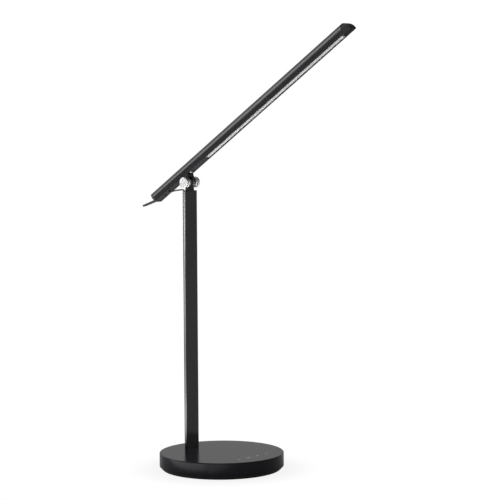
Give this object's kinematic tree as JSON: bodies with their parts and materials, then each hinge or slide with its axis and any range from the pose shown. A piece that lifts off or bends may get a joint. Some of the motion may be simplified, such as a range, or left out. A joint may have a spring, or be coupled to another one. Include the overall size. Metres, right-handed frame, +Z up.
{
  "type": "folding LED desk lamp",
  "caption": "Desk lamp with a weighted round touch base, a flat black column and a slim arched light bar on a friction hinge.",
  "frame": {"origin": "middle of the foot pad's underside, on the desk", "axes": "+Z up, -Y the way the light bar reaches, X along the hinge's axle; the lamp at rest with its bar 34 degrees above the horizontal"},
  "size_m": [0.16, 0.3531, 0.5656],
  "materials": {
    "base_paint": "satin",
    "iron": "rough",
    "black_plastic": "satin",
    "pad_rubber": "matt",
    "steel": "zinc plated",
    "bright_steel": "nickel plated",
    "black_steel": "black oxide",
    "spring_steel": "satin",
    "inlet_steel": "satin",
    "circuit_board": "solder mask",
    "icon_print": "printed",
    "chip_plastic": "matt",
    "coil_iron": "matt",
    "capacitor_body": "satin",
    "red_insulation": "satin",
    "white_insulation": "satin",
    "black_anodised": "satin anodised",
    "cable_jacket": "satin",
    "hinge_black": "satin",
    "washer_plastic": "smooth",
    "cap_aluminium": "satin turned",
    "led_phosphor": "gloss",
    "milky_diffuser": "frosted"
  },
  "bodies": {
    "stand": {"base_shell": "base_paint", "base_weight": "iron", "base_cover": "black_plastic", "foot_pad": "pad_rubber", "cover_screws": "steel", "weight_screws": "steel", "touch_board": "circuit_board", "touch_springs": "spring_steel", "touch_icons": "icon_print", "control_chip": "chip_plastic", "driver_coil": "coil_iron", "filter_capacitors": "capacitor_body", "board_screws": "steel", "inlet_board": "circuit_board", "inlet_shell": "inlet_steel", "inlet_tongue": "black_plastic", "inlet_screws": "steel", "inlet_leads": "red_insulation", "foot_bracket": "steel", "foot_screws": "steel", "post": "black_anodised", "foot_plug": "steel", "post_screws": "steel", "post_cable": "cable_jacket", "post_yoke": "hinge_black", "yoke_screws": "black_steel", "hinge_cable": "cable_jacket"},
    "head": {"hinge_axle": "steel", "hinge_nut": "steel", "spring_washer": "spring_steel", "friction_washers": "washer_plastic", "near_hinge_cap": "cap_aluminium", "far_hinge_cap": "cap_aluminium", "head_bracket": "hinge_black", "neck_screws": "bright_steel", "anchor_plate": "steel", "head_profile": "black_anodised", "rear_cover_strip": "black_plastic", "front_cover_strip": "black_plastic", "led_board": "circuit_board", "led_chips": "led_phosphor", "diffuser": "milky_diffuser", "nose_cap": "black_plastic", "tail_cap": "black_plastic", "head_lead": "white_insulation"}
  },
  "joints": [
    {"name": "head_tilt", "type": "hinge", "parent": "stand", "child": "head", "pos_m": [0, 0.0525, 0.367], "axis": [-1, 0, 0], "range_deg": [-124, 56], "deforming": ["hinge_cable"]}
  ]
}
